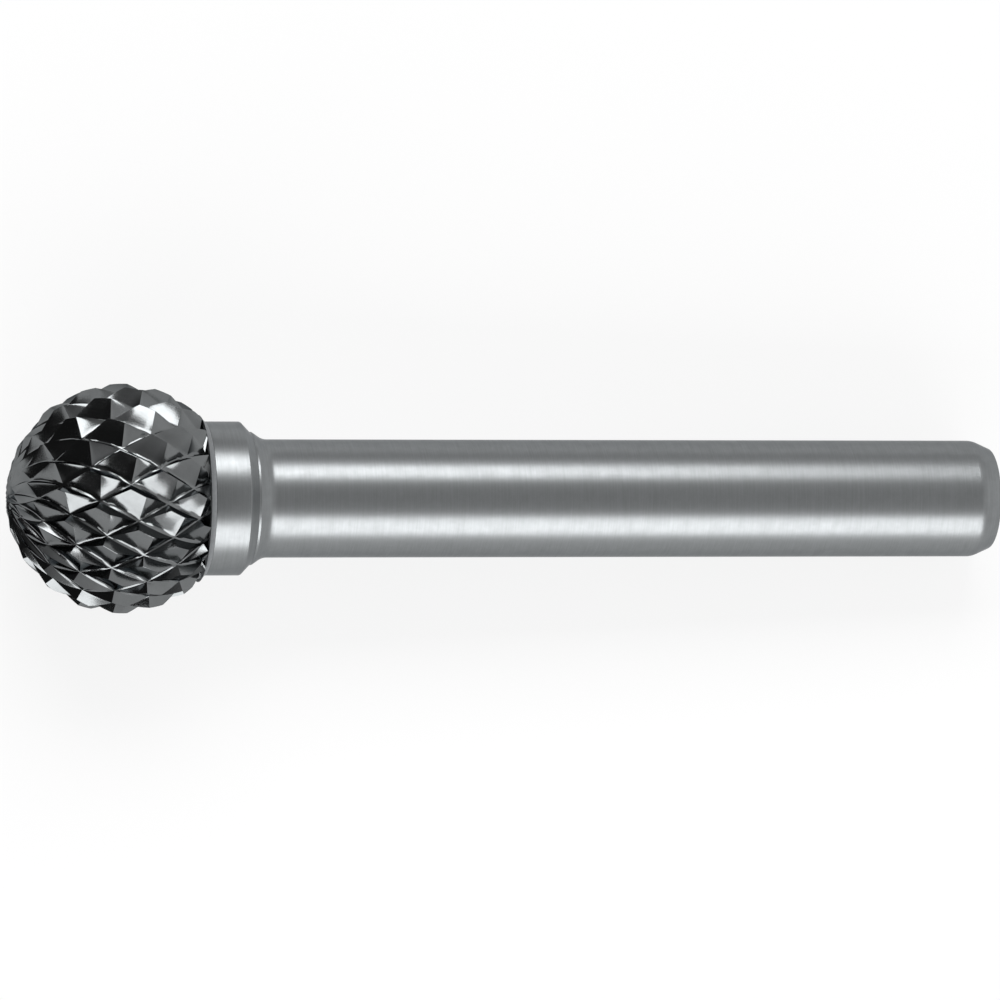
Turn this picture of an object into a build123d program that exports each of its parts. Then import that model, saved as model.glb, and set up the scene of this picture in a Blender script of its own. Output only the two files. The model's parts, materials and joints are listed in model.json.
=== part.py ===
from build123d import *
import math
import os
from collections import Counter

# Carbide burr: a ball-shaped cutting head with a double cut, brazed to a steel shank.
#
# Tool frame: the origin is the centre of the ball, local +Z runs out through the tip, and the
# shank runs down local -Z. A place on the ball has a colatitude, 0 at the tip and 90 on the
# equator, and an angle round the tool, counted from local +X towards local +Y.
# The tool lies on the floor (Z = 0) on the points of its teeth and on the rim of its shank, with
# the tip towards -X. The row's origin is on the floor, under the middle of the tool's box.

# ---- driving dimensions, millimetres and degrees ----

# cutting head
ball_diameter = 11.6        # over the tooth points
main_flutes = 20            # right-hand flutes, whose edges cut
cross_flutes = 16           # left-hand flutes, which break those edges into teeth
main_flute_angle = 27.4     # between a flute and the ball's meridians
cross_flute_angle = 29.2
flute_depth = 0.54          # of both cuts, on the equator
depth_fade = 1.45           # power of sin(colatitude) by which the flutes run out at the tip
rake_width = 3.4            # angle round the ball that a main flute's steep side takes
breaker_rise = 2.4          # the same for a cross flute's steep side
breaker_fall = 11.4         # and for its shallow side, on the equator
shortest_ridge = 0.05       # of a tooth's length, where the shallow side takes the rest
main_cut_start = 2.2        # angle on the equator of the first main cutting edge
cross_cut_start = 7.0       # and of the first cross flute's steep edge
tip_ease = 20.0             # colatitude below which the teeth shrink towards the tip
first_tooth = -6.0          # uneased colatitude where the teeth begin
facet_steps = 2             # straight facets along each side of a tooth

# braze and shank
braze_thickness = 0.3
head_overhang = 0.35        # rim of the head's flat face, outside the collar
braze_setback = 0.02        # rim of the braze, inside the rim of that face
shank_diameter = 6.0
overall_length = 51.33
collar_height = 0.9         # over the shank
collar_length = 1.78        # of its straight part
collar_chamfer_length = 0.5
step_height = 0.38          # short step behind the chamfer, over the shank
step_length = 0.12
shoulder_length = 0.55      # cone from the step down to the shank
end_chamfer_length = 0.95
end_chamfer_depth = 0.42

# how the tool lies
rest_roll = 10.0            # angle on the ball that faces up, before the tool settles
settle_range = 10.0         # how far it may roll either way to settle between two teeth
settle_rounds = 5           # tilt and roll are worked out in turn this many times
settle_precision = 0.002    # finest step of the roll

# ---- values that follow from them ----

ball_radius = ball_diameter / 2
shank_radius = shank_diameter / 2
end_radius = shank_radius - end_chamfer_depth
collar_radius = shank_radius + collar_height
step_radius = shank_radius + step_height
flat_radius = collar_radius + head_overhang
braze_face = -math.sqrt(ball_radius**2 - flat_radius**2)    # local Z of the head's flat face
collar_face = braze_face - braze_thickness
chamfer_start = collar_face - collar_length
step_start = chamfer_start - collar_chamfer_length
shoulder_start = step_start - step_length
shank_end = ball_radius - overall_length
shank_rim = shank_end + end_chamfer_length      # where the end chamfer begins
braze_colatitude = math.degrees(math.acos(braze_face / ball_radius))
main_pitch = 360 / main_flutes
cross_pitch = 360 / cross_flutes
main_twist = math.tan(math.radians(main_flute_angle))
cross_twist = math.tan(math.radians(cross_flute_angle))
waste_squeeze = 0.3         # how the pattern closes up past the braze face, where it is cut off


# ---- teeth of the cutting head ----

def crossing(main_line, cross_line):
    """Uneased colatitude and angle where two lines cross, each counted in its own cut's pitch.

    A main line's angle falls by main_twist for each degree of colatitude and a cross line's
    grows by cross_twist, so both are straight lines in these two angles.
    """
    main_angle = main_cut_start + main_line * main_pitch
    cross_angle = cross_cut_start + cross_line * cross_pitch
    past_equator = (main_angle - cross_angle) / (main_twist + cross_twist)
    return 90 + past_equator, cross_angle + cross_twist * past_equator


def ball_point(main_line, cross_line, depth_share):
    """Point of the ball at that crossing, sunk by a share of the flute depth."""
    colatitude, angle = crossing(main_line, cross_line)
    if colatitude < tip_ease:
        colatitude = tip_ease * math.exp(colatitude / tip_ease - 1)
    elif colatitude > braze_colatitude:
        colatitude = braze_colatitude + (colatitude - braze_colatitude) * waste_squeeze
    polar, turn = math.radians(colatitude), math.radians(angle)
    radius = ball_radius - depth_share * flute_depth * math.sin(polar) ** depth_fade
    return (
        round(radius * math.sin(polar) * math.cos(turn), 6),
        round(radius * math.sin(polar) * math.sin(turn), 6),
        round(radius * math.cos(polar), 6),
    )


def tooth_facets(main_line, cross_line):
    """One tooth as a hipped roof: a ridge on the main cutting edge and four ground sides.

    The rake face falls steeply to the flute in front, the clearance face falls gently to the
    flute behind, and the hips at the ridge's two ends are the walls of the cross flutes.
    """
    front = main_line + rake_width / main_pitch
    back = front - 1
    near = cross_line + breaker_rise / cross_pitch
    far = near - 1
    polar = math.radians(crossing(main_line, cross_line)[0])
    fall = breaker_fall / cross_pitch / max(math.sin(polar), tip_ease / 90)
    ridge_far = min(far + fall, cross_line - shortest_ridge)

    def row(start, end, depth_share):
        """Points along one line from a (main, cross) place to another."""
        return [
            ball_point(
                start[0] + (end[0] - start[0]) * step / facet_steps,
                start[1] + (end[1] - start[1]) * step / facet_steps,
                depth_share,
            )
            for step in range(facet_steps + 1)
        ]

    ridge = row((main_line, ridge_far), (main_line, cross_line), 0)
    front_valley = row((front, far), (front, near), 1)
    back_valley = row((back, far), (back, near), 1)
    near_valley = row((front, near), (back, near), 1)
    far_valley = row((back, far), (front, far), 1)

    facets = []
    for n in range(facet_steps):
        facets += [
            (ridge[n], front_valley[n], front_valley[n + 1]),
            (ridge[n], front_valley[n + 1], ridge[n + 1]),
            (ridge[n], back_valley[n + 1], back_valley[n]),
            (ridge[n], ridge[n + 1], back_valley[n + 1]),
            (ridge[-1], near_valley[n], near_valley[n + 1]),
            (ridge[0], far_valley[n], far_valley[n + 1]),
        ]
    return facets


def toothed_ball():
    """Facets of the whole ball: every tooth, and a fan of facets that closes each end."""
    lattice = main_twist + cross_twist
    last_tooth = braze_colatitude + 30
    facets = []
    for main_line in range(main_flutes):
        ahead = main_cut_start + main_line * main_pitch - cross_cut_start
        lowest = math.ceil((ahead - (last_tooth - 90) * lattice) / cross_pitch)
        highest = math.floor((ahead - (first_tooth - 90) * lattice) / cross_pitch)
        for cross_line in range(lowest, highest + 1):
            facets += tooth_facets(main_line, cross_line)

    sides = Counter(frozenset(side) for a, b, c in facets for side in ((a, b), (b, c), (c, a)))
    for side, uses in sides.items():
        if uses == 1:
            a, b = side
            facets.append((a, b, (0.0, 0.0, math.copysign(ball_radius, a[2]))))
    return facets


head_facets = toothed_ball()
head_points = {point for facet in head_facets for point in facet if point[2] > braze_face}
tooth_points = [point for point in head_points if math.hypot(*point) > ball_radius - flute_depth / 20]


# ---- how the tool lies on the floor ----

def lie(tilt, roll):
    """Plane of the tool frame: tip towards -X and raised by tilt, roll is the angle facing up."""
    rise, turn = math.radians(tilt), math.radians(roll)
    return Plane(
        origin=(0, 0, 0),
        x_dir=(math.cos(turn) * math.sin(rise), -math.sin(turn), math.cos(turn) * math.cos(rise)),
        z_dir=(-math.cos(rise), 0, math.sin(rise)),
    )


def reach(direction, tool_plane, points=head_points):
    """How far the points of the head reach along a world direction from the centre of the ball."""
    local = tuple(tool_plane.to_local_coords(Vector(*direction)))
    return max(sum(d * p for d, p in zip(local, point)) for point in points)


def settle():
    """Tilt and roll at which the tool rests between two teeth and on the rim of its shank."""
    tilt, roll = 0.0, rest_roll
    for _ in range(settle_rounds):
        step = settle_range / 10
        while step > settle_precision:
            choices = [roll + step * n for n in range(-10, 11)]
            roll = min(choices, key=lambda turn: reach((0, 0, -1), lie(tilt, turn), tooth_points))
            step /= 5
        drop = reach((0, 0, -1), lie(tilt, roll), tooth_points)
        tilt = math.degrees(math.asin((drop - shank_radius * math.cos(math.radians(tilt))) / -shank_rim))
    return tilt, roll


tilt, roll = settle()
lying = lie(tilt, roll)
tip_x = -reach((-1, 0, 0), lying)
end_x = -shank_end * math.cos(math.radians(tilt)) + end_radius * math.sin(math.radians(tilt))
side_y = reach((0, 1, 0), lying) - reach((0, -1, 0), lying)
ball_centre = Vector(-(tip_x + end_x) / 2, -side_y / 2, reach((0, 0, -1), lying))
tool = Plane(origin=ball_centre, x_dir=lying.x_dir, z_dir=lying.z_dir)
tool_axis = Axis(ball_centre, tool.z_dir)
profile_plane = Plane(origin=ball_centre, x_dir=tool.z_dir, z_dir=tool.x_dir)


# ---- cutting head: tungsten carbide, sintered, with its flutes ground in ----

with BuildPart() as cutting_head:
    add(tool.location * Solid(Shell([Face(Wire.make_polygon(facet)) for facet in head_facets])))
    split(bisect_by=tool.offset(braze_face), keep=Keep.TOP)
cutting_head.part.label = "cutting_head"


# ---- braze: the fillet of silver solder between the head's flat face and the narrower collar ----

with BuildPart() as braze_seam:
    with BuildSketch(profile_plane):
        with BuildLine():
            Polyline(
                (braze_face, 0),
                (braze_face, flat_radius - braze_setback),
                (collar_face, collar_radius),
                (collar_face, 0),
                close=True,
            )
        make_face()
    revolve(axis=tool_axis)
braze_seam.part.label = "braze_seam"


# ---- shank: steel, turned with a collar for the head, and ground to size ----

with BuildPart() as shank:
    with BuildSketch(profile_plane):
        with BuildLine():
            Polyline(
                (collar_face, 0),
                (collar_face, collar_radius),
                (chamfer_start, collar_radius),
                (step_start, step_radius),
                (shoulder_start, step_radius),
                (shoulder_start - shoulder_length, shank_radius),
                (shank_rim, shank_radius),
                (shank_end, end_radius),
                (shank_end, 0),
                close=True,
            )
        make_face()
    revolve(axis=tool_axis)
shank.part.label = "shank"


os.makedirs("parts", exist_ok=True)
for piece in (cutting_head, braze_seam, shank):
    export_step(piece.part, f"parts/{piece.part.label}.step")

print(f"tilt {tilt:.3f} roll {roll:.3f} ball centre {ball_centre} axis {tool.z_dir}")
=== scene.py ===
import json

import bmesh
import bpy
import numpy as np
from mathutils import Matrix


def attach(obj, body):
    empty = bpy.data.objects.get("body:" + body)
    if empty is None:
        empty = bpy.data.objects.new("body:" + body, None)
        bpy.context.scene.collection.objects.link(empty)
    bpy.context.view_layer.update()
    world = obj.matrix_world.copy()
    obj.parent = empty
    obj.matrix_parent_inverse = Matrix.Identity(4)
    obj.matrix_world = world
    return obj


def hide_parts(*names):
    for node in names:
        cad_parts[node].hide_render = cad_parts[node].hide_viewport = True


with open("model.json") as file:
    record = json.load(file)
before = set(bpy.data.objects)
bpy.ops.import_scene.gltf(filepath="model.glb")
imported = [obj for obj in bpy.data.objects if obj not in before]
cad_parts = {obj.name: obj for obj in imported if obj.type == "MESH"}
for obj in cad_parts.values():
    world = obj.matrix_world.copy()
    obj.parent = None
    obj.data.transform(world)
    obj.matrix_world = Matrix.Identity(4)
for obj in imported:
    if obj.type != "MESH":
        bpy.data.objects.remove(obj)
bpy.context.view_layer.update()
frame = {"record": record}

# A carbide burr lies on its side, on two of its teeth and on the rim of its shank. The sections
# follow it as it is made: the turned shank, the braze on its collar, and the ground head.

# ---- Shank ----
# Alloy steel, turned with a collar for the head at one end and then ground between two wheels to
# the size of a collet. The grinding leaves fine rings round it, and handling a faint mottle.
MM = 0.001                      # sizes are in millimetres, and angles in degrees, until used
overall_length = 51.33
ball_radius = 5.8
rest_roll = 10.8                # angle round the ball that faces up as the tool lies
collar_face = -4.247            # distances along the tool, counted from the centre of the ball
chamfer_start = -6.027
step_start = -6.527
shoulder_start = -6.647
shoulder_end = -7.197
shank_rim = -44.58
shank_end = ball_radius - overall_length
collar_radius = 3.9
step_radius = 3.38
shank_radius = 3.0
end_radius = 2.58
steel_colour = (0.205, 0.214, 0.218, 1)
steel_edge_tint = (0.60, 0.61, 0.62, 1)

end_mount = next(mount for mount in frame["record"]["mounts"] if mount["name"] == "shank_end")
towards_tip = -np.array(end_mount["axis"])
ball_centre = np.array(end_mount["pos_m"]) - towards_tip * shank_end * MM
uphill = np.array([towards_tip[2], 0.0, -towards_tip[0]])
across = np.array([0.0, 1.0, 0.0])
roll = np.radians(rest_roll)
zero_side = np.cos(roll) * uphill - np.sin(roll) * across
quarter_side = np.sin(roll) * uphill + np.cos(roll) * across


def in_tool(radius, turn, along):
    """Places in metres, from a radius and an angle round the tool and a distance along it.

    Each is the ball's centre, plus the radius times the cosine and sine of the angle along the
    tool's two side directions, plus the distance times the direction of the tip.
    """
    radius, turn, along = np.broadcast_arrays(radius, np.radians(turn), along)
    sideways = (radius * np.cos(turn))[..., None] * zero_side
    upwards = (radius * np.sin(turn))[..., None] * quarter_side
    return ball_centre + (sideways + upwards + along[..., None] * towards_tip) * MM


def rounded(corners, steps=6):
    """Outline through corners of (along, radius, rounding), with an arc at each rounding.

    The arc's middle lies inwards of the corner, by the rounding over the cosine of half the turn.
    """
    corners = np.array(corners)
    outline = [corners[0, :2]]
    for before, here, after in zip(corners[:-2], corners[1:-1], corners[2:]):
        arrive = (here[:2] - before[:2]) / np.linalg.norm(here[:2] - before[:2])
        leave = (after[:2] - here[:2]) / np.linalg.norm(after[:2] - here[:2])
        turn = np.arccos(np.clip(arrive @ leave, -1, 1))
        inward = (leave - arrive) / np.linalg.norm(leave - arrive)
        middle = here[:2] + inward * here[2] / np.cos(turn / 2)
        swing = np.linspace(-0.5, 0.5, steps + 1)[:, None] * turn
        forward = (arrive + leave) / np.linalg.norm(arrive + leave)
        outline.extend(middle + here[2] * (forward * np.sin(swing) - inward * np.cos(swing)))
    outline.append(corners[-1, :2])
    return np.array(outline)


def new_piece(name, points, faces, crease):
    """Object with its place in its mesh, shaded smooth up to the crease angle in degrees."""
    mesh = bpy.data.meshes.new(name)
    mesh.from_pydata(points, [], faces)
    mesh.polygons.foreach_set("use_smooth", np.ones(len(mesh.polygons), dtype=bool))
    mesh.set_sharp_from_angle(angle=np.radians(crease))
    piece = bpy.data.objects.new(name, mesh)
    bpy.context.scene.collection.objects.link(piece)
    return piece


def turned(name, outline, crease=28, steps=160):
    """Piece made by turning an outline of (along, radius) round the tool's axis.

    The outline's two ends lie on the axis, so each is one point that closes its pole. Every other
    point is a ring, and rings next to each other are joined by quads.
    """
    turn = np.arange(steps) * 360 / steps
    rings = in_tool(outline[1:-1, 1:], turn[None, :], outline[1:-1, :1])
    first, last = in_tool(0.0, 0.0, outline[[0, -1], 0])
    points = np.concatenate([rings.reshape(-1, 3), [first, last]])
    count = len(outline) - 2
    index = np.arange(count * steps).reshape(count, steps)
    beside = np.roll(index, -1, axis=1)
    quads = np.stack([index[:-1], index[1:], beside[1:], beside[:-1]], -1).reshape(-1, 4)
    start_fan = np.stack([np.full(steps, count * steps), index[0], beside[0]], -1)
    end_fan = np.stack([np.full(steps, count * steps + 1), beside[-1], index[-1]], -1)
    return new_piece(name, points, start_fan.tolist() + quads.tolist() + end_fan.tolist(), crease)


def material(name, colour, edge_tint):
    """Metal whose colour, roughness and normal are then linked to its own patterns."""
    finish = bpy.data.materials.new(name)
    finish.use_nodes = True
    shader = finish.node_tree.nodes["Principled BSDF"]
    shader.inputs["Base Color"].default_value = colour
    shader.inputs["Metallic"].default_value = 1.0
    shader.inputs["Specular Tint"].default_value = edge_tint
    return finish, finish.node_tree, shader


def add_node(tree, kind, settings=None, **inputs):
    """Node of a kind with its settings, and each input linked or set.

    An input is named with _ for each space, or numbered as at_0, at_1 and so on.
    """
    node = tree.nodes.new(kind)
    for key, value in (settings or {}).items():
        setattr(node, key, value)
    for key, value in inputs.items():
        by_number = key.startswith("at_")
        socket = node.inputs[int(key[3:]) if by_number else key.replace("_", " ")]
        if isinstance(value, bpy.types.NodeSocket):
            tree.links.new(value, socket)
        else:
            socket.default_value = value
    return node


def new_group(name, inputs, outputs):
    """Node group with named inputs and outputs, each of its own kind."""
    group = bpy.data.node_groups.new(name, "ShaderNodeTree")
    for label, kind in inputs.items():
        group.interface.new_socket(label, in_out="INPUT", socket_type=kind)
    for label, kind in outputs.items():
        group.interface.new_socket(label, in_out="OUTPUT", socket_type=kind)
    return group, group.nodes.new("NodeGroupInput").outputs, group.nodes.new("NodeGroupOutput")


def tool_coordinates(tree):
    """Object coordinates turned into the tool's own, in millimetres, with Z towards the tip."""
    frame_axes = Matrix(np.stack([zero_side, quarter_side, towards_tip], axis=1).tolist())
    place = add_node(tree, "ShaderNodeTexCoord").outputs["Object"]
    turned_place = add_node(
        tree, "ShaderNodeMapping", {"vector_type": "TEXTURE"}, Vector=place,
        Location=ball_centre.tolist(), Rotation=frame_axes.to_euler(), Scale=(MM, MM, MM),
    )
    return turned_place.outputs["Vector"]


# Scratches left by a wheel or a tool: noise that is drawn out along them. The place is scaled
# down along the scratches and up across them before the noise is read.
scratches, given, result = new_group(
    "wheel_scratches",
    {"Place": "NodeSocketVector", "Stretch": "NodeSocketVector"},
    {"Height": "NodeSocketFloat"},
)
drawn_out = add_node(
    scratches, "ShaderNodeVectorMath", {"operation": "MULTIPLY"},
    at_0=given["Place"], at_1=given["Stretch"],
)
fine = add_node(
    scratches, "ShaderNodeTexNoise", Vector=drawn_out.outputs[0], Scale=1.0, Detail=5.0, Roughness=0.62
)
sharper = add_node(
    scratches, "ShaderNodeMapRange", Value=fine.outputs["Fac"], From_Min=0.32, From_Max=0.68
)
scratches.links.new(sharper.outputs["Result"], result.inputs["Height"])


def use_group(tree, group, **inputs):
    """Node that places a group in a material."""
    return add_node(tree, "ShaderNodeGroup", {"node_tree": group}, **inputs)


def shaded(tree, colour, tone, darkest, lightest):
    """Colour times a factor that runs from darkest to lightest as the tone goes from 0 to 1."""
    factor = add_node(tree, "ShaderNodeMapRange", Value=tone, To_Min=darkest, To_Max=lightest)
    product = add_node(
        tree, "ShaderNodeMix", {"data_type": "RGBA", "blend_type": "MULTIPLY"}, Factor=1.0
    )
    product.inputs[6].default_value = colour
    tree.links.new(factor.outputs["Result"], product.inputs[7])
    return product.outputs[2]


steel, tree, shader = material("satin_steel", steel_colour, steel_edge_tint)
place = tool_coordinates(tree)
rings = use_group(tree, scratches, Place=place, Stretch=(0.5, 0.5, 14.0))
blotches = add_node(tree, "ShaderNodeTexNoise", Vector=place, Scale=1.6, Detail=6.0, Roughness=0.65)
both = add_node(
    tree, "ShaderNodeMath", {"operation": "MULTIPLY_ADD"},
    at_0=rings.outputs["Height"], at_1=0.45, at_2=blotches.outputs["Fac"],
)
tree.links.new(shaded(tree, steel_colour, both.outputs["Value"], 0.82, 1.12), shader.inputs["Base Color"])
roughness = add_node(
    tree, "ShaderNodeMapRange", Value=both.outputs["Value"],
    From_Min=0.3, From_Max=1.1, To_Min=0.36, To_Max=0.29,
)
tree.links.new(roughness.outputs["Result"], shader.inputs["Roughness"])
relief = add_node(
    tree, "ShaderNodeBump", Height=rings.outputs["Height"], Strength=0.25, Distance=0.004 * MM
)
tree.links.new(relief.outputs["Normal"], shader.inputs["Normal"])

shank = turned("satin_shank", rounded([
    (collar_face, 0.0, 0.0),
    (collar_face, collar_radius, 0.03),
    (chamfer_start, collar_radius, 0.08),
    (step_start, step_radius, 0.04),
    (shoulder_start, step_radius, 0.08),
    (shoulder_end, shank_radius, 0.9),
    (shank_rim, shank_radius, 1.2),
    (shank_end, end_radius, 0.12),
    (shank_end, 0.0, 0.0),
]))
shank.data.materials.append(steel)
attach(shank, "root")
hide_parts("shank")

# ---- Braze ----
# Silver solder that has run between the collar and the flat back of the head, which is wider. It
# sets as a hollow fillet round the joint, matt and a little paler than the steel.
braze_thickness = 0.3
braze_radius = 4.23
fillet_hollow = 0.035
braze_colour = (0.30, 0.31, 0.318, 1)
braze_face = collar_face + braze_thickness

share = np.linspace(0, 1, 7)
fillet_along = braze_face - braze_thickness * share
fillet_radius = braze_radius + (collar_radius - braze_radius) * share
fillet_radius -= fillet_hollow * np.sin(np.pi * share)
fillet = np.stack([fillet_along, fillet_radius], axis=1)
braze_outline = np.concatenate([[(braze_face, 0.0)], fillet, [(collar_face, 0.0)]])
braze_seam = turned("silver_braze", braze_outline)

braze, tree, shader = material("matt_braze", braze_colour, steel_edge_tint)
place = tool_coordinates(tree)
grain = add_node(tree, "ShaderNodeTexNoise", Vector=place, Scale=5.0, Detail=5.0, Roughness=0.6)
tree.links.new(shaded(tree, braze_colour, grain.outputs["Fac"], 0.8, 1.2), shader.inputs["Base Color"])
shader.inputs["Roughness"].default_value = 0.62
relief = add_node(tree, "ShaderNodeBump", Height=grain.outputs["Fac"], Strength=0.4, Distance=0.02 * MM)
tree.links.new(relief.outputs["Normal"], shader.inputs["Normal"])
braze_seam.data.materials.append(braze)
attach(braze_seam, "root")
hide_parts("braze_seam")

# ---- Cutting head ----
# One ball of sintered tungsten carbide with its flutes ground in by a diamond wheel. Right-hand
# main flutes leave the cutting edges, and left-hand cross flutes break those into pointed teeth.
main_flutes = 20
cross_flutes = 16
main_flute_angle = 27.4         # between a flute and the ball's meridians
cross_flute_angle = 29.2
flute_depth = 0.54
depth_fade = 1.0                # power of sin(colatitude) by which the flutes run out at the tip
rake_width = 3.4                # angles round the ball that the walls of the flutes take
breaker_rise = 2.4
breaker_fall = 11.4
shortest_ridge = 0.05           # of a tooth's length
land_width = 0.22               # angle round the ball of the flat left along a cutting edge
main_cut_start = 2.2            # angles on the equator where the first edge of each cut lies
cross_cut_start = 7.0
tip_ease = 20.0                 # colatitude below which the teeth shrink towards the tip
first_tooth = -30.0             # uneased colatitude where the teeth begin
waste_squeeze = 0.3             # how the pattern closes up past the flat back, where it is cut off
steps_along = 8                 # quads of a wall along its ridge, and down from it
steps_down = 10
tip_wander = 0.02               # how unevenly the wheel leaves the ridges, as shares of a pitch
weld = 2e-5                     # places nearer than this are one point
carbide_colour = (0.166, 0.173, 0.176, 1)
carbide_edge_tint = (0.20, 0.205, 0.21, 1)

main_pitch = 360 / main_flutes
cross_pitch = 360 / cross_flutes
main_twist = np.tan(np.radians(main_flute_angle))
cross_twist = np.tan(np.radians(cross_flute_angle))
braze_colatitude = np.degrees(np.arccos(braze_face / ball_radius))


def crossing(main_line, cross_line):
    """Uneased colatitude and angle where two lines cross, each counted in its own cut's pitch.

    A main line's angle falls with the colatitude and a cross line's grows with it, each in
    proportion, so the crossing solves two straight-line equations.
    """
    main_angle = main_cut_start + main_line * main_pitch
    cross_angle = cross_cut_start + cross_line * cross_pitch
    past_equator = (main_angle - cross_angle) / (main_twist + cross_twist)
    return 90 + past_equator, cross_angle + cross_twist * past_equator


def on_ball(main_line, cross_line, sink):
    """Places on the ball at those crossings, sunk by a share of the depth of the flutes.

    The radius is the ball's, less the share times the flute depth, which fades towards the tip
    with a power of the sine of the colatitude.
    """
    colatitude, angle = crossing(main_line, cross_line)
    eased = tip_ease * np.exp(np.minimum(colatitude, tip_ease) / tip_ease - 1)
    squeezed = braze_colatitude + (colatitude - braze_colatitude) * waste_squeeze
    before_braze = np.where(colatitude > braze_colatitude, squeezed, colatitude)
    colatitude = np.where(colatitude < tip_ease, eased, before_braze)
    polar = np.radians(colatitude)
    radius = ball_radius - sink * flute_depth * np.sin(polar) ** depth_fade
    return in_tool(radius * np.sin(polar), angle, radius * np.cos(polar))


def wall_profile(foot, lift, rounding):
    """How far across a wall and how deep it lies, in even steps from the ridge to the valley.

    Two straight slopes joined by a hyperbola: the wall falls from the ridge until the share foot
    of its width is left, and rises from there to the valley with the slope lift. The hyperbola
    is the mean of the two slopes, less the root of half their difference squared plus the
    rounding squared. It is then scaled to run from 0 to 1.
    """
    across_wall = 1 - (1 - np.linspace(0, 1, steps_down + 1)) ** 1.6
    falling = across_wall * (1 + lift * foot) / (1 - foot)
    rising = 1 + lift * (1 - across_wall)
    deep = (falling + rising) / 2 - np.sqrt(((falling - rising) / 2) ** 2 + rounding**2)
    return across_wall, (deep - deep[0]) / (deep[-1] - deep[0])


def tooth_walls():
    """Grids of places on every tooth's land and four walls.

    A tooth is a hipped roof. Counted in lines, its land is a thin rectangle on the main cutting
    edge and its foot is the rectangle of the four valleys. A wall is the sheet of straight lines
    between one side of the land and the same side of the foot, sunk by that wall's profile. Next
    to a hip every wall has the corner profile, so the walls meet there without a gap.
    """
    main_line, cross_line = np.meshgrid(
        np.arange(main_flutes, dtype=float), np.arange(-cross_flutes, 4 * cross_flutes, dtype=float)
    )
    colatitude = crossing(main_line, cross_line)[0]
    kept = (colatitude >= first_tooth) & (colatitude <= braze_colatitude + 30)
    main_line, cross_line, colatitude = main_line[kept], cross_line[kept], colatitude[kept]
    chance = np.random.default_rng(4).uniform(-tip_wander, tip_wander, (4, len(main_line)))
    narrow = np.maximum(np.sin(np.radians(colatitude)), tip_ease / 90)

    front = rake_width / main_pitch
    near = breaker_rise / cross_pitch
    land = land_width / main_pitch
    ridge_far = np.minimum(near - 1 + breaker_fall / cross_pitch / narrow, -shortest_ridge)
    edge = chance[0] * 0.5
    start, end = ridge_far + chance[1], chance[2] * 0.6
    zero = np.zeros_like(edge)
    top = [(edge - land, start), (edge, start), (edge, end), (edge - land, end)]
    foot = [(zero + front - 1, zero + near - 1), (zero + front, zero + near - 1),
            (zero + front, zero + near), (zero + front - 1, zero + near)]
    along = np.linspace(0, 1, steps_along + 1)
    middle = (np.sin(np.pi * along) ** 0.5)[:, None]
    corner_across, corner_deep = wall_profile(0.0, 1.0, 0.07)
    profiles = [
        wall_profile(0.10, 1.6, 0.10),          # shallow side of the cross flute, hollow at its foot
        wall_profile(0.0, 1.0, 0.04),           # rake face
        wall_profile(0.0, 1.0, 0.06),           # steep side of the cross flute
        wall_profile(0.11, 2.0, 0.10),          # clearance face, hollow at its foot
    ]

    grids = []
    for side, (own_across, own_deep) in enumerate(profiles):
        blend_across = corner_across + (own_across - corner_across) * middle
        blend_deep = corner_deep + (own_deep - corner_deep) * middle
        lines = []
        for axis in range(2):
            after = (side + 1) % 4
            ends = top[side][axis], top[after][axis], foot[side][axis], foot[after][axis]
            upper_start, upper_end, lower_start, lower_end = (value[:, None, None] for value in ends)
            upper = upper_start + (upper_end - upper_start) * along[:, None]
            lower = lower_start + (lower_end - lower_start) * along[:, None]
            lines.append(upper + (lower - upper) * blend_across)
        whole_main, whole_cross = main_line[:, None, None], cross_line[:, None, None]
        grids.append(on_ball(whole_main + lines[0], whole_cross + lines[1], blend_deep))
    lines = []
    for axis in range(2):
        corners = [top[n][axis][:, None, None] for n in range(4)]
        left = corners[0] + (corners[3] - corners[0]) * along[:, None]
        right = corners[1] + (corners[2] - corners[1]) * along[:, None]
        lines.append(left + (right - left) * np.array([0.0, 1.0]))
    grids.append(on_ball(whole_main + lines[0], whole_cross + lines[1], 0.0))
    return grids


points, quads, scratch_uv = [], [], []
offset = 0
for side, grid in enumerate(tooth_walls()):
    teeth, rows, columns = grid.shape[:3]
    index = offset + np.arange(teeth * rows * columns).reshape(teeth, rows, columns)
    quad = np.stack([index[:, :-1, :-1], index[:, 1:, :-1], index[:, 1:, 1:], index[:, :-1, 1:]], -1)
    foot_steps = np.diff(grid[:, :, -1:], axis=1, prepend=grid[:, :1, -1:])
    run = np.linalg.norm(foot_steps, axis=-1).cumsum(axis=1)
    wall_steps = np.diff(grid, axis=2, prepend=grid[:, :, :1])
    drop = np.linalg.norm(wall_steps, axis=-1).cumsum(axis=2)
    shift = np.random.default_rng(side).uniform(0, 40, (teeth, 1, 1))
    uv = np.stack([np.broadcast_to(run / MM, drop.shape) + shift, drop / MM + shift], -1).reshape(-1, 2)
    points.append(grid.reshape(-1, 3))
    quads.append(quad[..., ::-1].reshape(-1, 4) if side == 4 else quad.reshape(-1, 4))
    scratch_uv.append(uv)
    offset += index.size
points, quads, scratch_uv = np.concatenate(points), np.concatenate(quads), np.concatenate(scratch_uv)
cells = np.round(points / (weld * MM)).astype(np.int64)
_, first, same = np.unique(cells, axis=0, return_index=True, return_inverse=True)
head = new_piece("ground_carbide_head", points[first], same.reshape(-1)[quads], 180)
layer = head.data.uv_layers.new(name="wheel_scratches")
layer.data.foreach_set("uv", scratch_uv[quads.reshape(-1)].reshape(-1))

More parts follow.
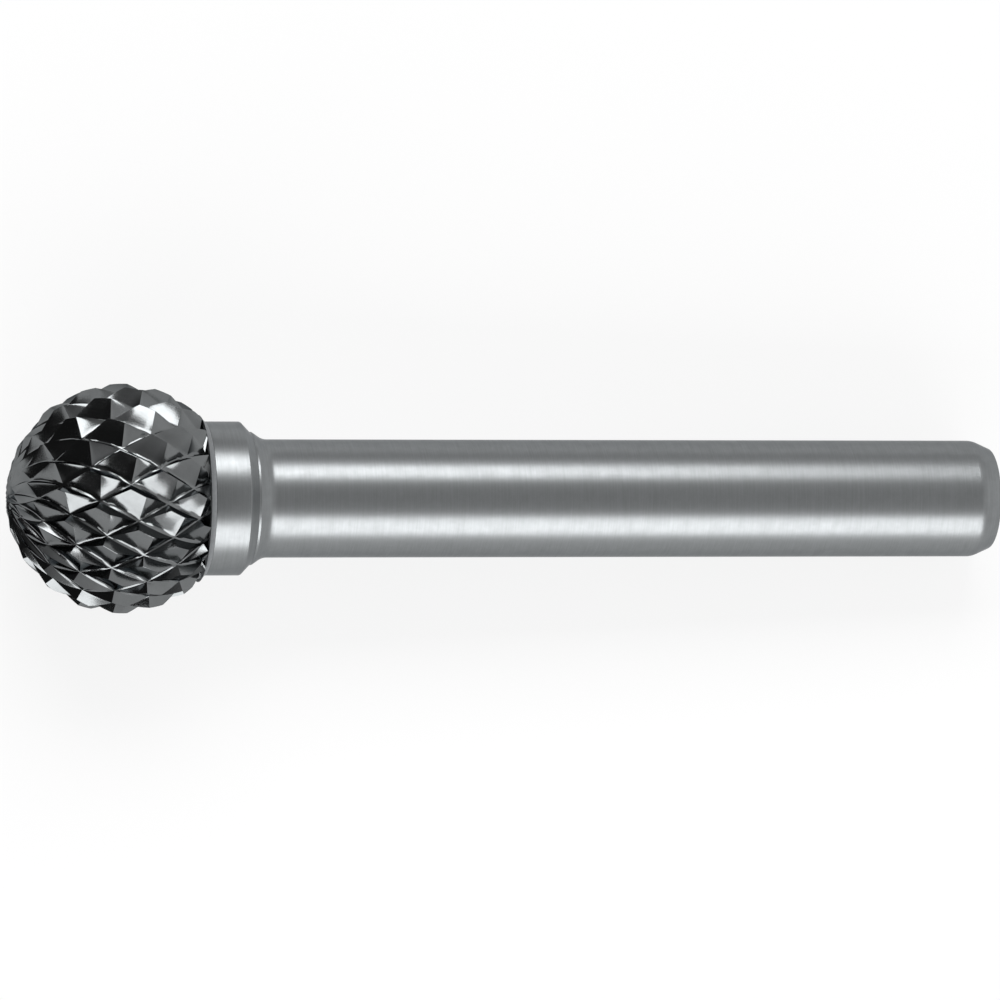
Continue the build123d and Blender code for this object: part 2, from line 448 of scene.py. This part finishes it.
# The back of the ball is cut off flat where it is brazed on, and the two open ends are closed.
work = bmesh.new()
work.from_mesh(head.data)
bmesh.ops.bisect_plane(
    work, geom=work.verts[:] + work.edges[:] + work.faces[:], dist=1e-8, clear_outer=True,
    plane_co=in_tool(0.0, 0.0, braze_face).tolist(), plane_no=(-towards_tip).tolist(),
)
bmesh.ops.holes_fill(work, edges=[edge for edge in work.edges if edge.is_boundary], sides=0)
bmesh.ops.recalc_face_normals(work, faces=work.faces[:])
work.to_mesh(head.data)
work.free()
head.data.set_sharp_from_angle(angle=np.radians(24))

carbide, tree, shader = material("ground_carbide", carbide_colour, carbide_edge_tint)
wheel_place = add_node(tree, "ShaderNodeUVMap", {"uv_map": "wheel_scratches"}).outputs["UV"]
marks = use_group(tree, scratches, Place=wheel_place, Stretch=(1.2, 22.0, 1.0))
place = tool_coordinates(tree)
clouds = add_node(tree, "ShaderNodeTexNoise", Vector=place, Scale=0.9, Detail=4.0, Roughness=0.6)
tree.links.new(shaded(tree, carbide_colour, clouds.outputs["Fac"], 0.8, 1.2), shader.inputs["Base Color"])
roughness = add_node(
    tree, "ShaderNodeMapRange", Value=marks.outputs["Height"], To_Min=0.12, To_Max=0.2
)
tree.links.new(roughness.outputs["Result"], shader.inputs["Roughness"])
relief = add_node(tree, "ShaderNodeBump", Height=marks.outputs["Height"], Strength=0.2, Distance=0.003 * MM)
tree.links.new(relief.outputs["Normal"], shader.inputs["Normal"])
head.data.materials.append(carbide)
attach(head, "root")
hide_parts("cutting_head")

# ---- Floor ----
# A sheet of matt white board. It renders as white where it is seen by itself or in the metal, and
# takes the tool's soft shadow. The soft boxes light nothing behind them, so further out the board
# is wholly white to the eye.
floor_size = 5.0
board_colour = (0.86, 0.86, 0.86, 1)
board_glow = 0.78
fade_start = 120.0               # from the middle, where the board begins to turn wholly white
fade_end = 300.0                 # and where it is wholly white, past the reach of the lamps

floor_mesh = bpy.data.meshes.new("floor")
sides = np.array([(-1, -1, 0), (1, -1, 0), (1, 1, 0), (-1, 1, 0)]) * floor_size
floor_mesh.from_pydata(sides, [], [(0, 1, 2, 3)])
floor = bpy.data.objects.new("floor", floor_mesh)
bpy.context.scene.collection.objects.link(floor)
board = bpy.data.materials.new("white_board")
board.use_nodes = True
tree = board.node_tree
matt = tree.nodes["Principled BSDF"]
matt.inputs["Base Color"].default_value = board_colour
matt.inputs["Roughness"].default_value = 0.9
matt.inputs["Specular IOR Level"].default_value = 0.0
glow = add_node(tree, "ShaderNodeEmission", Color=(1, 1, 1, 1), Strength=1.0)
ray = add_node(tree, "ShaderNodeLightPath")
place = add_node(tree, "ShaderNodeTexCoord").outputs["Object"]
distance = add_node(tree, "ShaderNodeVectorMath", {"operation": "LENGTH"}, at_0=place)
eye_glow = add_node(
    tree, "ShaderNodeMapRange", Value=distance.outputs["Value"], From_Min=fade_start * MM,
    From_Max=fade_end * MM, To_Min=board_glow, To_Max=1.0,
)
by_eye = add_node(
    tree, "ShaderNodeMath", {"operation": "MULTIPLY"},
    at_0=ray.outputs["Is Camera Ray"], at_1=eye_glow.outputs["Result"],
)
in_metal = add_node(
    tree, "ShaderNodeMath", {"operation": "ADD", "use_clamp": True},
    at_0=ray.outputs["Is Glossy Ray"], at_1=ray.outputs["Is Transmission Ray"],
)
amount = add_node(
    tree, "ShaderNodeMath", {"operation": "MULTIPLY_ADD", "use_clamp": True},
    at_0=in_metal.outputs["Value"], at_1=board_glow, at_2=by_eye.outputs["Value"],
)
mixed = add_node(tree, "ShaderNodeMixShader", at_0=amount.outputs["Value"])
tree.links.new(matt.outputs["BSDF"], mixed.inputs[1])
tree.links.new(glow.outputs["Emission"], mixed.inputs[2])
tree.links.new(mixed.outputs["Shader"], tree.nodes["Material Output"].inputs["Surface"])
floor_mesh.materials.append(board)

# ---- Camera ----
# It looks down on the tool from beside the tip, so the ball is a little nearer than the shank.
camera_yaw = 12.5
camera_distance = 350.0
aim_along = -19.613
aim_drop = 0.077
lens = 246.6

yaw = np.radians(camera_yaw)
towards_camera = np.cos(yaw) * zero_side + np.sin(yaw) * towards_tip
picture_right = np.sin(yaw) * zero_side - np.cos(yaw) * towards_tip
aim = in_tool(0.0, 0.0, aim_along) - quarter_side * aim_drop * MM


def placed(piece, right, up, back, where):
    """Turns an object so that its X, Y and Z run along three directions, at a place in metres."""
    turn_and_place = np.eye(4)
    turn_and_place[:3] = np.stack([right, up, back, where], axis=1)
    piece.matrix_world = Matrix(turn_and_place.tolist())
    bpy.context.scene.collection.objects.link(piece)


camera_data = bpy.data.cameras.new("camera")
camera_data.sensor_width = 36
camera_data.lens = lens
camera_data.clip_start = 0.01
camera_data.clip_end = 10
camera = bpy.data.objects.new("camera", camera_data)
placed(camera, picture_right, quarter_side, towards_camera, aim + towards_camera * camera_distance * MM)
bpy.context.scene.camera = camera

# ---- Light ----
# Two long soft boxes stand along the tool, one on each side. The world between them is dim, a
# little brighter beyond the shank than beyond the tip.
box_distance = 300.0
soft_boxes = (
    # name, angle round the tool, middle along the world's X, length, width, light for each area
    ("upper_box", 53.0, -25.0, 250.0, 135.0, 5.8),
    ("lower_box", -56.0, -30.0, 460.0, 205.0, 4.0),
)
for name, angle, middle_x, length, width, light in soft_boxes:
    turn = np.radians(angle)
    outward = np.cos(turn) * zero_side + np.sin(turn) * quarter_side
    lamp_data = bpy.data.lights.new(name, "AREA")
    lamp_data.shape = "RECTANGLE"
    lamp_data.size = length * MM
    lamp_data.size_y = width * MM
    lamp_data.energy = light * np.pi * length * width * MM * MM
    lamp = bpy.data.objects.new(name, lamp_data)
    where = outward * box_distance * MM + np.array([middle_x * MM, 0, 0])
    placed(lamp, -towards_tip, np.cross(outward, -towards_tip), outward, where)

world = bpy.data.worlds.new("studio")
bpy.context.scene.world = world
world.use_nodes = True
tree = world.node_tree
direction = add_node(tree, "ShaderNodeTexCoord").outputs["Generated"]
part = add_node(tree, "ShaderNodeSeparateXYZ", Vector=direction)
dimness = add_node(
    tree, "ShaderNodeMapRange", Value=part.outputs["X"],
    From_Min=-0.45, From_Max=0.9, To_Min=0.03, To_Max=1.0,
)
tree.links.new(dimness.outputs["Result"], tree.nodes["Background"].inputs["Strength"])
tree.nodes["Background"].inputs["Color"].default_value = (1, 1, 1, 1)

bpy.context.scene.view_settings.view_transform = "Standard"
